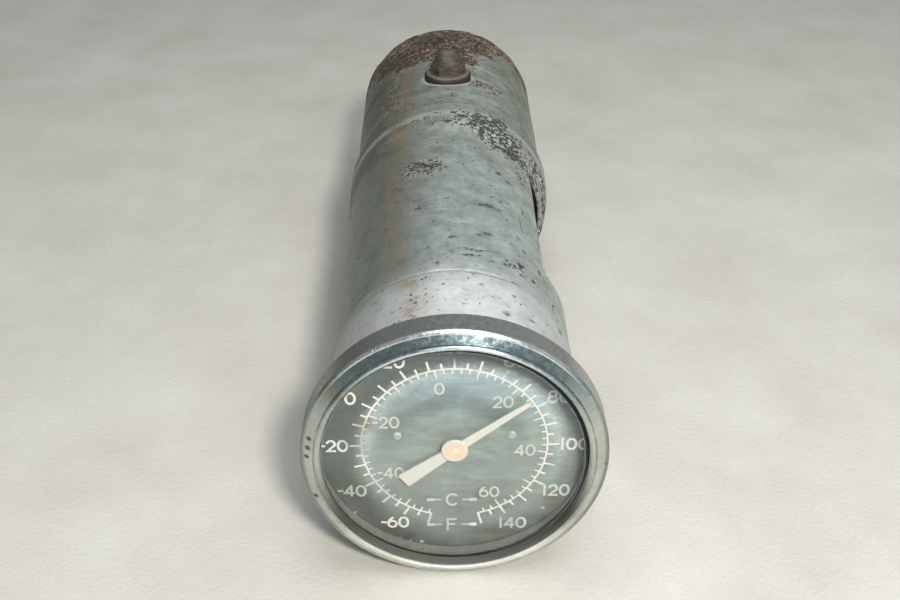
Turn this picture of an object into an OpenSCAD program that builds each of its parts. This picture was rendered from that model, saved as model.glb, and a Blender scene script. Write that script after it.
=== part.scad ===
// Outside air temperature gauge: a dial thermometer held in the front end of a
// sliding ventilator tube, so that its stem stands in the air stream.
// +Y runs down the tube away from the dial, +Z is up, and the origin is on the
// axis, in the plane of the bezel's back edge.

/* [Bezel and glass] */
// Outside diameter of the bezel
bezel_od = 63.5; // [62:0.5:70]
// Thickness of the bezel's drawn sheet
bezel_wall = 0.8; // [0.6:0.1:1.2]
// Width of the bezel's face, from its outside to the open dial
bezel_face_w = 4.05; // [3.5:0.05:5.5]
// How far the bezel stands out past the collar, all round
bezel_overhang = 4.75; // [4:0.05:6]
// Width of the rolled bead round the lip
lip_bead_w = 1.2; // [0.8:0.1:1.6]
// How far the bead stands in front of the bezel's outer edge
lip_rise = 1.2; // [0.4:0.1:1.6]
// Thickness of the edge that is spun in behind the case flange
crimp_t = 0.5; // [0.4:0.1:0.8]
// How far the spun edge reaches in from the skirt
crimp_w = 0.8; // [0.5:0.1:1.2]
// Thickness of the glass
glass_t = 1.3; // [1.2:0.1:2.4]
// Thickness of the gasket behind the glass
gasket_t = 0.5; // [0.4:0.1:1]
// Height of the spacer ring between the gasket and the dial
spacer_h = 2.3; // [2:0.1:3.5]
// Width of the spacer ring and of the gasket
spacer_w = 2.4; // [1.6:0.1:2.6]

/* [Dial and pointer] */
// Thickness of the dial plate
dial_t = 0.4; // [0.3:0.1:0.8]
// Hole in the dial for the pointer shaft
dial_hole = 3.2; // [2.6:0.1:4]
// Distance of each dial screw to the side of the axis
screw_x = 11.9; // [10:0.1:14]
// Height of the dial screws above the axis
screw_z = 2.6; // [0:0.1:5]
// Length of a dial screw's shank
screw_l = 4; // [3:0.1:5]
// Diameter of a dial screw's head
screw_head_d = 1.9; // [1.5:0.1:2.6]
// Diameter of a dial screw's shank
screw_d = 1; // [0.8:0.1:1.4]
// Diameter of a dial pillar
pillar_d = 3.2; // [2.6:0.1:4]
// Reach of the pointer's tip from the axis
tip_r = 19.8; // [17:0.1:22]
// Width of the pointer at its tip
tip_w = 1; // [0.3:0.1:1.4]
// Width of the pointer at its hub
arm_w = 2.1; // [1.4:0.1:2.4]
// Reach of the pointer's counterweight tail
tail_r = 13.6; // [10:0.1:16]
// Width of the tail's blunt end
tail_w = 3.6; // [2:0.1:4.2]
// Thickness of the pointer's sheet
pointer_t = 0.4; // [0.3:0.1:0.5]
// Diameter of the hub's cap
hub_d = 5.6; // [4.4:0.1:6]
// Height of the hub's cap
hub_cap_h = 0.5; // [0.4:0.1:0.6]
// Diameter of the hub's neck, on which the pointer is staked
hub_neck_d = 3; // [2.6:0.1:3.4]
// Length of the hub's neck behind the pointer
hub_neck_l = 1; // [0.4:0.1:1]
// Reading at rest, in degrees Fahrenheit
reading_f = 75; // [-70:1:150]

/* [Movement] */
// Diameter of the pointer shaft
shaft_d = 1.6; // [1.2:0.1:2]
// Radial running clearance of the shaft in its bearings
shaft_gap = 0.06; // [0.03:0.01:0.09]
// Outside diameter of the front bush
bush_d = 4.6; // [3.6:0.1:5]
// Thickness of the guide disc halfway down the stem
guide_t = 2; // [1:0.1:3]
// Turns of the bimetal helix
helix_turns = 19; // [12:1:20]
// Pitch of the helix
helix_pitch = 2.1; // [2:0.05:2.3]
// Width of the bimetal strip
strip_w = 1.2; // [0.8:0.1:1.3]
// Thickness of the bimetal strip
strip_t = 0.4; // [0.3:0.05:0.6]
// Diameter of the helix at the middle of its strip
helix_d = 5; // [4.6:0.1:5.4]
// Diameter of the collet that takes the helix's free end
collet_d = 5.4; // [4.4:0.1:6]
// Length of the collet
collet_l = 1.6; // [1:0.1:3]

/* [Case and neck] */
// Thickness of the case's sheet
case_wall = 0.5; // [0.4:0.1:0.8]
// Radial room of the case's cup in the collar
case_gap = 0.5; // [0.4:0.1:2]
// Depth of the cup behind its flange
case_depth = 8; // [6:0.1:10]
// Diameter of the neck's thread
neck_d = 12.7; // [11:0.1:14]
// Diameter of the neck's flange inside the cup
neck_flange_d = 18; // [16:0.1:20]
// Thickness of the neck's flange
neck_flange_t = 1; // [0.8:0.1:1.5]
// Length of the front bush, and depth of its seat in the neck
bush_l = 4.2; // [3:0.1:6]
// Length of neck that stands out behind its nut
neck_spare = 2; // [1:0.1:4]
// Outside diameter of the sealing washer
seal_d = 24; // [20:0.5:30]
// Thickness of the sealing washer
seal_t = 0.8; // [0.5:0.1:1.5]
// Width of the neck nut across its flats
neck_nut_af = 20.6; // [18:0.1:24]
// Thickness of the neck nut
neck_nut_h = 5.5; // [4:0.1:8]
// Outside diameter of the spring washer under the neck nut
spring_washer_d = 20; // [17:0.1:22]
// Thickness of the spring washer
spring_washer_t = 1.2; // [0.8:0.1:1.6]

/* [Stem] */
// Outside diameter of the stem
stem_od = 8; // [7.4:0.1:9]
// Wall of the stem
stem_wall = 0.5; // [0.3:0.1:0.6]
// Length of stem that stands out of the neck
stem_reach = 95; // [90:1:105]
// Length of the end plug inside the stem
plug_l = 4; // [3.5:0.1:8]

/* [Ventilator tube] */
// Wall of the tube
tube_wall = 1; // [0.7:0.1:1.2]
// How much wider the front collar is than the tube
collar_step = 0.2; // [0:0.1:1]
// Wall of the front collar's skirt
collar_wall = 1.1; // [0.8:0.1:1.3]
// Length of the collar in front of the tube
collar_len = 24.7; // [22:0.1:32]
// Thickness of the web that the gauge is bolted to
web_t = 1.5; // [1:0.1:3]
// Length of the spigot on which the front tube is pushed
spigot_len = 12; // [6:0.5:14]
// Wall of the spigot
spigot_wall = 1; // [0.8:0.1:1.5]
// Length of the front tube
front_len = 90; // [86:0.5:110]
// Distance from the front tube's end to its window
window_start = 15.5; // [15:0.5:20]
// Length of the window
window_len = 53.5; // [30:0.5:54]
// Angle of the tube's wall that the window takes away
window_angle = 75; // [40:1:80]
// Radius of the window's corners
window_corner = 3; // [1:0.5:6]
// Length of the bell, which takes the rear tube
bell_len = 11.5; // [8:0.5:14]
// Length of the flare that leads up to the bell
flare_len = 7; // [4:0.5:8]
// Radial clearance of the rear tube in the bell
bell_gap = 0.05; // [0.02:0.01:0.2]
// Length of the rear tube that stands out of the bell
rear_len = 61.4; // [56:0.1:80]
// Distance of the rolled groove from the rear end
groove_from_end = 28; // [24:0.5:29]
// Width of the rolled groove
groove_w = 3; // [2:0.1:4]
// Depth of the rolled groove
groove_depth = 0.4; // [0.2:0.1:0.6]

/* [Stop stud] */
// Distance of the stop stud from the rear end
stop_from_end = 40; // [39:0.5:45]
// Diameter of the stop screw's thread
stop_d = 4.2; // [3:0.1:5]
// Diameter of the stop screw's head, inside the tube
stop_head_d = 7; // [6:0.1:9]
// Height of the stop screw's head
stop_head_h = 2.2; // [1.6:0.1:3]
// Outside diameter of the cupped washer
cup_d = 13.5; // [11:0.1:16]
// Height of the cupped washer at its rim
cup_rim_h = 0.6; // [0.4:0.1:1]
// Height of the cupped washer at its crown
cup_crown_h = 1.8; // [1.2:0.1:2.5]
// Width of the acorn nut across its flats
acorn_af = 8.8; // [7:0.1:10]
// Height of the acorn nut's hexagon
acorn_hex_h = 2.2; // [1.5:0.1:4]
// Height of the acorn nut's dome
acorn_dome_h = 3.8; // [3:0.1:5]
// Thickness of the tooth washer under the screw's head
tooth_washer_t = 0.6; // [0.4:0.1:1]

/* [Hidden] */

$fn = 96;

// Room between the parts that are stacked in the bezel and its skirt
stack_gap = 0.05;
// Free gap between the moving parts and the fixed ones
free_gap = 0.3;
// Radial room of a washer or a bolt in a plain hole
hole_gap = 0.1;
// How far a cutting shape runs past the surface that it cuts
over = 1;
// Edge break on small turned and drawn edges
edge = 0.3;
// Edge break on the smallest turned parts
fine_edge = 0.2;
// Free depth of a blind hole past the screw in it
hole_spare = 1;

// The stack in the bezel, counted forward from the bezel's back edge
flange_back = -crimp_t;
dial_back = flange_back - case_wall;
dial_front = dial_back - dial_t;
spacer_front = dial_front - spacer_h;
glass_back = spacer_front - gasket_t;
glass_front = glass_back - glass_t;
bezel_front = glass_front - bezel_wall;
bezel_r = bezel_od / 2;
skirt_r = bezel_r - bezel_wall;
stack_r = skirt_r - stack_gap;
lip_bore = bezel_od - 2 * bezel_face_w;
lip_r = lip_bore / 2;

// The pointer stands off the dial by the free gap
hub_back = dial_front - free_gap;
pointer_back = hub_back - hub_neck_l;
pointer_front = pointer_back - pointer_t;
hub_front = pointer_front - hub_cap_h;
degrees_per_f = 1.5;
top_reading_f = 40;
pointer_angle = 90 - degrees_per_f * (reading_f - top_reading_f);

// Behind the case: seal, web, spring washer and nut on the neck
case_back = flange_back + case_depth;
case_floor = case_back - case_wall;
neck_front = case_floor - neck_flange_t;
bush_back = neck_front + bush_l;
web_front = case_back + seal_t;
web_back = web_front + web_t;
nut_front = web_back + spring_washer_t;
nut_back = nut_front + neck_nut_h;
neck_back = nut_back + neck_spare;
neck_hole_r = neck_d / 2 + hole_gap;

// The stem and what is in it
stem_r = stem_od / 2;
stem_bore_r = stem_r - stem_wall;
stem_back = neck_back + stem_reach;
plug_front = stem_back - plug_l;
shaft_r = shaft_d / 2;
bearing_r = shaft_r + shaft_gap;
pivot_depth = 2.5;
shaft_back = plug_front + pivot_depth - free_gap;
helix_bend = strip_w * 0.8;
guide_gap = 1;
helix_end_l = helix_bend + strip_w;
helix_back = plug_front - helix_end_l;
helix_front = helix_back - helix_turns * helix_pitch;
collet_back = helix_front - helix_end_l - free_gap;
guide_back = collet_back - collet_l - guide_gap;

// The tube, which follows from the bezel
collar_od = bezel_od - 2 * bezel_overhang;
collar_r = collar_od / 2;
skirt_bore_r = collar_r - collar_wall;
case_r = skirt_bore_r - case_gap;
tube_od = collar_od - collar_step;
tube_r = tube_od / 2;
bore_r = tube_r - tube_wall;
front_start = collar_len;
front_end = front_start + front_len;
bell_bore_r = tube_r + bell_gap;
bell_r = bell_bore_r + tube_wall;
bell_start = front_end - bell_len;
flare_start = bell_start - flare_len;
rear_start = bell_start + edge;
rear_end = front_end + rear_len;
groove_back = rear_end - groove_from_end;
groove_front = groove_back - groove_w;
stop_y = rear_end - stop_from_end;

// The stop stud, counted up from the tube's crown
cup_top = tube_r + cup_crown_h;
acorn_top = cup_top + acorn_hex_h;
// A flat washer meets the inside of a round wall at its rim
tooth_washer_rim = 0.4;
tooth_washer_r = stop_head_d / 2 + tooth_washer_rim;
tooth_top = sqrt(bore_r * bore_r - tooth_washer_r * tooth_washer_r);
stop_head_top = tooth_top - tooth_washer_t;

// Points of an arc about (x, y), from angle a0 to angle a1
function arc(x, y, r, a0, a1, n = 8) =
    [for (i = [0 : n]) [x + r * cos(a0 + (a1 - a0) * i / n), y + r * sin(a0 + (a1 - a0) * i / n)]];

// Points of a smooth step in radius, from [r0, y0] to [r1, y1]
function smooth_step(r0, y0, r1, y1, n = 8) =
    [for (i = [0 : n]) [r0 + (r1 - r0) * (1 - cos(180 * i / n)) / 2, y0 + (y1 - y0) * i / n]];

// Turns a profile of [radius, station] points about the tube's axis
module turned(points) {
    rotate([-90, 0, 0])
        rotate_extrude()
            polygon(points);
}

// A ring about the tube's axis, from station y0 to y1
module ring(r_in, r_out, y0, y1) {
    turned([[r_in, y0], [r_out, y0], [r_out, y1], [r_in, y1]]);
}

// A disc about the tube's axis, from station y0 to y1
module disc(r, y0, y1) {
    translate([0, y0, 0])
        rotate([-90, 0, 0])
            cylinder(r = r, h = y1 - y0);
}

// Places its children at both dial screws
module at_dial_screws() {
    for (side = [-1, 1])
        translate([side * screw_x, 0, screw_z])
            children();
}

// Drawn brass rim: straight skirt, sloped face, rolled bead round the glass, and
// the back edge spun in behind the case flange
module bezel() {
    corner = bezel_wall;
    bead_r = lip_bead_w / 2;
    bead_front = bezel_front - lip_rise;
    groove_r = lip_r + lip_bead_w;
    color("lightslategray")
        turned(concat(
            [[skirt_r - crimp_w, 0], [bezel_r - edge, 0], [bezel_r, -edge]],
            arc(bezel_r - corner, bezel_front + corner, corner, 0, -90),
            [[groove_r + edge, bead_front + edge], [groove_r, bead_front + 2 * edge]],
            arc(lip_r + bead_r, bead_front + bead_r, bead_r, 0, -180, 12),
            [[lip_r, glass_front], [skirt_r, glass_front], [skirt_r, flange_back],
             [skirt_r - crimp_w, flange_back]]
        ));
}

// Flat glass with a ground edge
module glass() {
    color("lightcyan", 0.4)
        turned([[0, glass_front], [stack_r - edge, glass_front], [stack_r, glass_front + edge],
                [stack_r, glass_back - edge], [stack_r - edge, glass_back], [0, glass_back]]);
}

// Flat gasket behind the glass
module glass_gasket() {
    color("dimgray")
        ring(stack_r - spacer_w, stack_r, glass_back, spacer_front);
}

// Ring that holds the glass off the dial and clamps the dial's rim
module spacer_ring() {
    color("darkslategray")
        ring(stack_r - spacer_w, stack_r, spacer_front, dial_front);
}

// Dial of thin sheet, clamped at its rim and screwed down at its middle
module dial_plate() {
    color("darkslategray")
        difference() {
            disc(stack_r, dial_front, dial_back);
            disc(dial_hole / 2, dial_front - over, dial_back + over);
            at_dial_screws()
                disc(screw_d / 2, dial_front - over, dial_back + over);
        }
}

// Two small round-headed screws that hold the dial to its pillars
module dial_screws() {
    head_h = 0.5;
    crown_w = 0.3;
    slot_w = 0.3;
    head_r = screw_head_d / 2;
    color("silver")
        at_dial_screws()
            difference() {
                union() {
                    turned([[0, dial_front - head_h], [head_r - crown_w, dial_front - head_h],
                            [head_r, dial_front - head_h / 3], [head_r, dial_front],
                            [0, dial_front]]);
                    disc(screw_d / 2, dial_front, dial_front + screw_l);
                }
                translate([-screw_head_d, dial_front - head_h - over, -slot_w / 2])
                    cube([2 * screw_head_d, over + head_h / 2, slot_w]);
            }
}

// Two brass pillars that carry the middle of the dial off the case's floor
module dial_pillars() {
    color("darkgoldenrod")
        at_dial_screws()
            difference() {
                disc(pillar_d / 2, dial_back, case_floor);
                disc(screw_d / 2, dial_back - over, dial_front + screw_l + hole_spare);
            }
}

// Pointer of thin sheet: a slender arm and a broad blunt tail that balances it
module pointer() {
    eye_wall = 0.6;
    tail_corner = 0.3;
    color("antiquewhite")
        rotate([0, -pointer_angle, 0])
            translate([0, pointer_back, 0])
                rotate([90, 0, 0])
                    linear_extrude(height = pointer_t)
                        difference() {
                            union() {
                                polygon([[tip_r, 0], [tip_r - tip_w, tip_w / 2], [0, arm_w / 2],
                                         [tail_corner - tail_r, tail_w / 2],
                                         [-tail_r, tail_w / 2 - tail_corner],
                                         [-tail_r, tail_corner - tail_w / 2],
                                         [tail_corner - tail_r, -tail_w / 2], [0, -arm_w / 2],
                                         [tip_r - tip_w, -tip_w / 2]]);
                                circle(r = hub_neck_d / 2 + eye_wall);
                            }
                            circle(d = hub_neck_d);
                        }
}

// Turned hub: a cap in front of the pointer and a neck that the pointer is staked on
module pointer_hub() {
    color("bisque")
        turned([[shaft_r, hub_front], [hub_d / 2 - fine_edge, hub_front],
                [hub_d / 2, hub_front + fine_edge], [hub_d / 2, pointer_front],
                [hub_neck_d / 2, pointer_front], [hub_neck_d / 2, hub_back], [shaft_r, hub_back]]);
}

// Long steel shaft from the pointer through the helix to the end plug
module pointer_shaft() {
    tip = hub_front - fine_edge / 2;
    color("gainsboro")
        turned([[0, tip], [shaft_r - fine_edge, tip], [shaft_r, tip + fine_edge],
                [shaft_r, shaft_back - edge], [shaft_r - edge, shaft_back], [0, shaft_back]]);
}

// Collet that joins the helix's free end to the shaft
module helix_collet() {
    color("peru")
        ring(shaft_r, collet_d / 2, collet_back - collet_l, collet_back);
}

// Shallow drawn cup with a flat flange, closed at the front by the glass
module gauge_case() {
    bend = 1.2;
    color("gray")
        turned(concat(
            [[case_r - case_wall, dial_back], [stack_r, dial_back], [stack_r, flange_back],
             [case_r, flange_back]],
            arc(case_r - bend, case_back - bend, bend, 0, 90, 6),
            [[neck_d / 2, case_back], [neck_d / 2, case_floor]],
            arc(case_r - bend, case_floor - (bend - case_wall), bend - case_wall, 90, 0, 6)
        ));
}

// Neck: flange brazed inside the cup, threaded shank, seats for the bush and the stem
module neck_stud() {
    chamfer = 0.8;
    neck_r = neck_d / 2;
    color("darkgoldenrod")
        turned([[bush_d / 2, neck_front], [neck_flange_d / 2, neck_front],
                [neck_flange_d / 2, case_floor], [neck_r, case_floor], [neck_r, neck_back - chamfer],
                [neck_r - chamfer, neck_back], [stem_r, neck_back], [stem_r, bush_back],
                [bush_d / 2, bush_back]]);
}

// Bronze bush at the front of the neck
module front_bush() {
    color("peru")
        ring(bearing_r, bush_d / 2, neck_front, bush_back);
}

// Soft washer between the case and the collar's web
module sealing_washer() {
    color("black")
        ring(neck_hole_r, seal_d / 2, case_back, web_front);
}

// Split spring washer under the neck nut
module neck_lock_washer() {
    split_w = 1.2;
    color("slategray")
        difference() {
            ring(neck_hole_r, spring_washer_d / 2, web_back, nut_front);
            translate([0, web_back - over, 0])
                cube([split_w, spring_washer_t + 2 * over, spring_washer_d]);
        }
}

// Hexagon nut on the neck, with both faces chamfered
module neck_nut() {
    flat_r = neck_nut_af / 2;
    corner_r = flat_r / cos(30);
    outer_r = corner_r + over;
    drop = (outer_r - flat_r) * tan(30);
    color("darkgoldenrod")
        difference() {
            intersection() {
                translate([0, nut_front, 0])
                    rotate([-90, 0, 0])
                        cylinder(r = corner_r, h = neck_nut_h, $fn = 6);
                turned([[0, nut_front], [flat_r, nut_front], [outer_r, nut_front + drop],
                        [outer_r, nut_back - drop], [flat_r, nut_back], [0, nut_back]]);
            }
            disc(neck_d / 2, nut_front - over, nut_back + over);
        }
}

// Thin-walled stem that carries the heat of the air to the helix
module stem_tube() {
    color("silver")
        ring(stem_bore_r, stem_r, bush_back, stem_back);
}

// Disc that guides the long shaft in front of the helix
module shaft_guide() {
    color("peru")
        ring(bearing_r, stem_bore_r, guide_back - guide_t, guide_back);
}

// Section of the bimetal strip, as [across, along] the strip's width
function strip_section() = [
    [strip_t / 2, strip_w / 4], [0, strip_w / 2], [-strip_t / 2, strip_w / 4],
    [-strip_t / 2, -strip_w / 4], [0, -strip_w / 2], [strip_t / 2, -strip_w / 4]
];

// One ring of the strip. It starts from the helix at the given turn and station,
// runs past it by a distance along the turn and along the axis, and is tilted
// from the turn (0) towards the axis (90)
function strip_ring(turn, y, past_turn, past_axis, tilt) =
    let (out = [cos(360 * turn), 0, sin(360 * turn)],
         on = [-sin(360 * turn), 0, cos(360 * turn)],
         middle = out * helix_d / 2 + on * past_turn + [0, y + past_axis, 0],
         wide = [0, cos(tilt), 0] - on * sin(tilt))
    [for (p = strip_section()) middle + out * p[0] + wide * p[1]];

// Helix of bimetal strip round the shaft: its back end stands on the plug, and
// its front end turns the collet
module bimetal_helix() {
    steps = 8;
    bends = [30, 60, 90];
    rings = concat(
        [strip_ring(0, helix_front, -helix_bend, -helix_end_l, 90)],
        [for (i = [2 : -1 : 0])
            strip_ring(0, helix_front, -helix_bend * sin(bends[i]), -helix_bend * (1 - cos(bends[i])), bends[i])],
        [for (i = [0 : helix_turns * steps])
            strip_ring(i / steps, helix_front + helix_pitch * i / steps, 0, 0, 0)],
        [for (b = bends)
            strip_ring(helix_turns, helix_back, helix_bend * sin(b), helix_bend * (1 - cos(b)), b)],
        [strip_ring(helix_turns, helix_back, helix_bend, helix_end_l, 90)]
    );
    sides = len(strip_section());
    last = (len(rings) - 1) * sides;
    echo(least_gap_of_helix = helix_pitch - strip_w);
    color("darkkhaki")
        polyhedron(
            points = [for (one = rings) for (p = one) p],
            faces = concat(
                [for (i = [0 : len(rings) - 2]) for (j = [0 : sides - 1]) for (half = [0, 1])
                    let (a = i * sides + j, b = i * sides + (j + 1) % sides)
                        half == 0 ? [a, b, b + sides] : [a, b + sides, a + sides]],
                [for (j = [1 : sides - 2]) [0, j + 1, j]],
                [for (j = [1 : sides - 2]) [last, last + j, last + j + 1]]
            ));
}

// Domed plug soldered into the stem's end, with the shaft's rear bearing
module stem_plug() {
    dome = 1.5;
    color("darkgoldenrod")
        turned(concat(
            [[bearing_r, plug_front], [stem_bore_r, plug_front], [stem_bore_r, stem_back],
             [stem_r, stem_back]],
            [for (i = [1 : 5]) [stem_r * cos(18 * i), stem_back + dome * sin(18 * i)]],
            [[0, plug_front + pivot_depth], [bearing_r, plug_front + pivot_depth]]
        ));
}

// End collar: a skirt round the case, a web that the gauge is bolted to, and a
// spigot that the front tube is pushed on
module front_collar() {
    spigot_r = bore_r;
    spigot_in = spigot_r - spigot_wall;
    spigot_back = front_start + spigot_len;
    color("lightsteelblue")
        turned([[skirt_bore_r, flange_back], [collar_r, flange_back], [collar_r, front_start],
                [spigot_r, front_start], [spigot_r, spigot_back - edge],
                [spigot_r - edge, spigot_back], [spigot_in, spigot_back], [spigot_in, web_back],
                [neck_hole_r, web_back], [neck_hole_r, web_front], [skirt_bore_r, web_front]]);
}

// Outline of the window, with round corners, along the tube and across it
module window_outline(len_y, len_z, corner) {
    translate([corner, -len_z / 2])
        square([len_y - 2 * corner, len_z]);
    translate([0, corner - len_z / 2])
        square([len_y, len_z - 2 * corner]);
    for (u = [corner, len_y - corner])
        for (v = [-1, 1])
            translate([u, v * (len_z / 2 - corner)])
                circle(r = corner);
}

// Front tube with its side window and the bell at its rear end
module front_tube() {
    window_z = 2 * tube_r * sin(window_angle / 2);
    color("lightsteelblue")
        difference() {
            turned(concat(
                [[bore_r, front_start], [tube_r - edge, front_start], [tube_r, front_start + edge]],
                smooth_step(tube_r, flare_start, bell_r, bell_start),
                [[bell_r, front_end - edge], [bell_r - edge, front_end], [bell_bore_r, front_end]],
                smooth_step(bell_bore_r, bell_start, bore_r, flare_start)
            ));
            translate([0, front_start + window_start, 0])
                multmatrix([[0, 0, 1, 0], [1, 0, 0, 0], [0, 1, 0, 0], [0, 0, 0, 1]])
                    linear_extrude(height = tube_r + over)
                        window_outline(window_len, window_z, window_corner);
        }
}

// Rear tube: plain, open at the end, with a shallow rolled groove
module rear_tube() {
    middle = (groove_front + groove_back) / 2;
    waist_r = tube_r - groove_depth;
    color("darkkhaki")
        difference() {
            turned(concat(
                [[bore_r, rear_start], [tube_r, rear_start]],
                smooth_step(tube_r, groove_front, waist_r, middle),
                smooth_step(waist_r, middle, tube_r, groove_back),
                [[tube_r, rear_end], [bore_r, rear_end]],
                smooth_step(bore_r, groove_back, waist_r - tube_wall, middle),
                smooth_step(waist_r - tube_wall, middle, bore_r, groove_front)
            ));
            translate([0, stop_y, bore_r - stop_d])
                cylinder(d = stop_d, h = stop_d + tube_wall + over);
        }
}

// Pan-headed screw that stands out through the crown of the rear tube
module stop_screw() {
    slot_w = 1;
    slot_depth = 0.9;
    rounding = 0.8;
    head_r = stop_head_d / 2;
    head_bottom = stop_head_top - stop_head_h;
    color("dimgray")
        translate([0, stop_y, 0])
            difference() {
                union() {
                    rotate_extrude()
                        polygon(concat(
                            [[0, head_bottom]],
                            arc(head_r - rounding, head_bottom + rounding, rounding, -90, 0, 4),
                            [[head_r, stop_head_top], [0, stop_head_top]]
                        ));
                    translate([0, 0, stop_head_top])
                        cylinder(d = stop_d, h = acorn_top - stop_head_top);
                }
                translate([-stop_head_d, -slot_w / 2, head_bottom - over])
                    cube([2 * stop_head_d, slot_w, over + slot_depth]);
            }
}

// Washer with inside teeth, under the screw's head
module stop_lock_washer() {
    teeth = 8;
    tooth_w = 0.8;
    tooth_l = 0.7;
    color("dimgray")
        translate([0, stop_y, tooth_top - tooth_washer_t])
            difference() {
                cylinder(r = tooth_washer_r, h = tooth_washer_t);
                translate([0, 0, -over])
                    cylinder(r = stop_d / 2, h = tooth_washer_t + 2 * over);
                for (i = [0 : teeth - 1])
                    rotate([0, 0, i * 360 / teeth])
                        translate([0, -tooth_w / 2, -over])
                            cube([stop_d / 2 + tooth_l, tooth_w, tooth_washer_t + 2 * over]);
            }
}

// Cupped washer whose underside is formed to the tube
module cup_washer() {
    brim = tube_r + cup_rim_h;
    brim_break = 0.5;
    seat_margin = 0.7;
    seat_r = acorn_af / 2 + seat_margin;
    cup_r = cup_d / 2;
    color("saddlebrown")
        translate([0, stop_y, 0])
            difference() {
                rotate_extrude()
                    polygon([[stop_d / 2, tube_r - cup_r], [cup_r, tube_r - cup_r], [cup_r, brim],
                             [cup_r - brim_break, brim + brim_break], [seat_r, cup_top - fine_edge],
                             [seat_r - edge, cup_top], [stop_d / 2, cup_top]]);
                rotate([90, 0, 0])
                    cylinder(r = tube_r, h = 2 * cup_d, center = true);
            }
}

// Domed nut on the outside
module acorn_nut() {
    flat_r = acorn_af / 2;
    corner_r = flat_r / cos(30);
    outer_r = corner_r + over;
    drop = (outer_r - flat_r) * tan(40);
    dome_inset = 0.4;
    dome_r = flat_r - dome_inset;
    quarter = 8;
    color("sienna")
        translate([0, stop_y, cup_top])
            difference() {
                union() {
                    intersection() {
                        cylinder(r = corner_r, h = acorn_hex_h, $fn = 6);
                        rotate_extrude()
                            polygon([[0, 0], [outer_r, 0], [outer_r, acorn_hex_h - drop],
                                     [flat_r, acorn_hex_h], [0, acorn_hex_h]]);
                    }
                    translate([0, 0, acorn_hex_h])
                        rotate_extrude()
                            polygon(concat([[0, 0]],
                                [for (i = [0 : quarter])
                                    [dome_r * cos(90 * i / quarter),
                                     acorn_dome_h * sin(90 * i / quarter)]]));
                }
                translate([0, 0, -over])
                    cylinder(d = stop_d, h = acorn_hex_h + over);
            }
}

bezel();
glass();
glass_gasket();
spacer_ring();
dial_plate();
dial_screws();
dial_pillars();
pointer();
pointer_hub();
pointer_shaft();
helix_collet();
gauge_case();
neck_stud();
front_bush();
sealing_washer();
neck_lock_washer();
neck_nut();
stem_tube();
shaft_guide();
bimetal_helix();
stem_plug();
front_collar();
front_tube();
rear_tube();
stop_screw();
stop_lock_washer();
cup_washer();
acorn_nut();
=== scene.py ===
import math

import bmesh
import bpy
import numpy as np
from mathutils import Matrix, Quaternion, Vector, noise


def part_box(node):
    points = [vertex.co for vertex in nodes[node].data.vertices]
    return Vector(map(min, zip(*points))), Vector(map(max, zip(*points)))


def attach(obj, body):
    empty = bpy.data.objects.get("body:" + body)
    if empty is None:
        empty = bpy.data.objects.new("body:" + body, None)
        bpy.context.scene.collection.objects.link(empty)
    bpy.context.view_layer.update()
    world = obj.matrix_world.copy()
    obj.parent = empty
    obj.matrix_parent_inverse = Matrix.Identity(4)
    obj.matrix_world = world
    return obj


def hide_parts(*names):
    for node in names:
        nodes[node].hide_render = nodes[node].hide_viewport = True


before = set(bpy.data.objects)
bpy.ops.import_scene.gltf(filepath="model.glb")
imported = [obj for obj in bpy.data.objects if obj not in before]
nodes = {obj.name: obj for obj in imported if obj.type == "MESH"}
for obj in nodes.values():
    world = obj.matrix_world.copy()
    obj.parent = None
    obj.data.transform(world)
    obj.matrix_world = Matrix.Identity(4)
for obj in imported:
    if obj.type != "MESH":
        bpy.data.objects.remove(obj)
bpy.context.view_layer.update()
MM = 0.001

# The camera looks down on the dial from in front, at the tube's own slant. Its
# place comes from fitting the rims and the tube's sides to their outlines.
camera = bpy.data.objects.new("camera", bpy.data.cameras.new("camera"))
bpy.context.scene.collection.objects.link(camera)
bpy.context.scene.camera = camera
camera.data.sensor_width = 36
camera.data.lens = 48.6
camera.data.clip_start = 0.01
camera.location = (-2.81 * MM, -199.92 * MM, 159.77 * MM)
heading, dip, roll = math.radians(0.56), math.radians(32.02), math.radians(-0.16)
forward = Vector((math.sin(heading) * math.cos(dip), math.cos(heading) * math.cos(dip), -math.sin(dip)))
camera.rotation_mode = "QUATERNION"
camera.rotation_quaternion = forward.to_track_quat("-Z", "Y") @ Quaternion((0, 0, 1), roll)


# The floor is plain pale concrete, painted, under even light. The gauge lies on the
# rim of its bezel and on the tube's open end, so the floor rises a little to the back.
def linear(colour):
    """The linear colour of an sRGB hex value."""
    channels = [int(colour[i:i + 2], 16) / 255 for i in (1, 3, 5)]
    return (*(c / 12.92 if c <= 0.04045 else ((c + 0.055) / 1.055) ** 2.4 for c in channels), 1)


def add(tree, kind, settings, **inputs):
    """Adds a node. settings are its own, and inputs are values or what is linked in. An
    input is named as in Blender, with _ for a space, or as in0, in1 by its place."""
    node = tree.nodes.new("ShaderNode" + kind)
    for name, value in settings.items():
        setattr(node, name, value)
    for name, value in inputs.items():
        if name[:2] == "in" and name[2:].isdigit():
            socket = node.inputs[int(name[2:])]
        else:
            socket = next(s for s in node.inputs if s.name == name.replace("_", " ") and s.enabled)
        if isinstance(value, bpy.types.Node):
            value = next(s for s in value.outputs if s.enabled)
        if isinstance(value, bpy.types.NodeSocket):
            tree.links.new(value, socket)
        else:
            socket.default_value = value
    return node


def new_material(label):
    """An empty material and its node tree."""
    material = bpy.data.materials.new(label)
    material.use_nodes = True
    material.node_tree.nodes.clear()
    return material, material.node_tree


def cloudy(tree, at, rate, detail, roughness=0.5, warp=0.0):
    """The value of a noise pattern: one blotch is about 1 / rate wide, in the units of at."""
    return add(tree, "TexNoise", {}, Vector=at, Scale=rate, Detail=detail, Roughness=roughness,
               Distortion=warp).outputs["Fac"]


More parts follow.
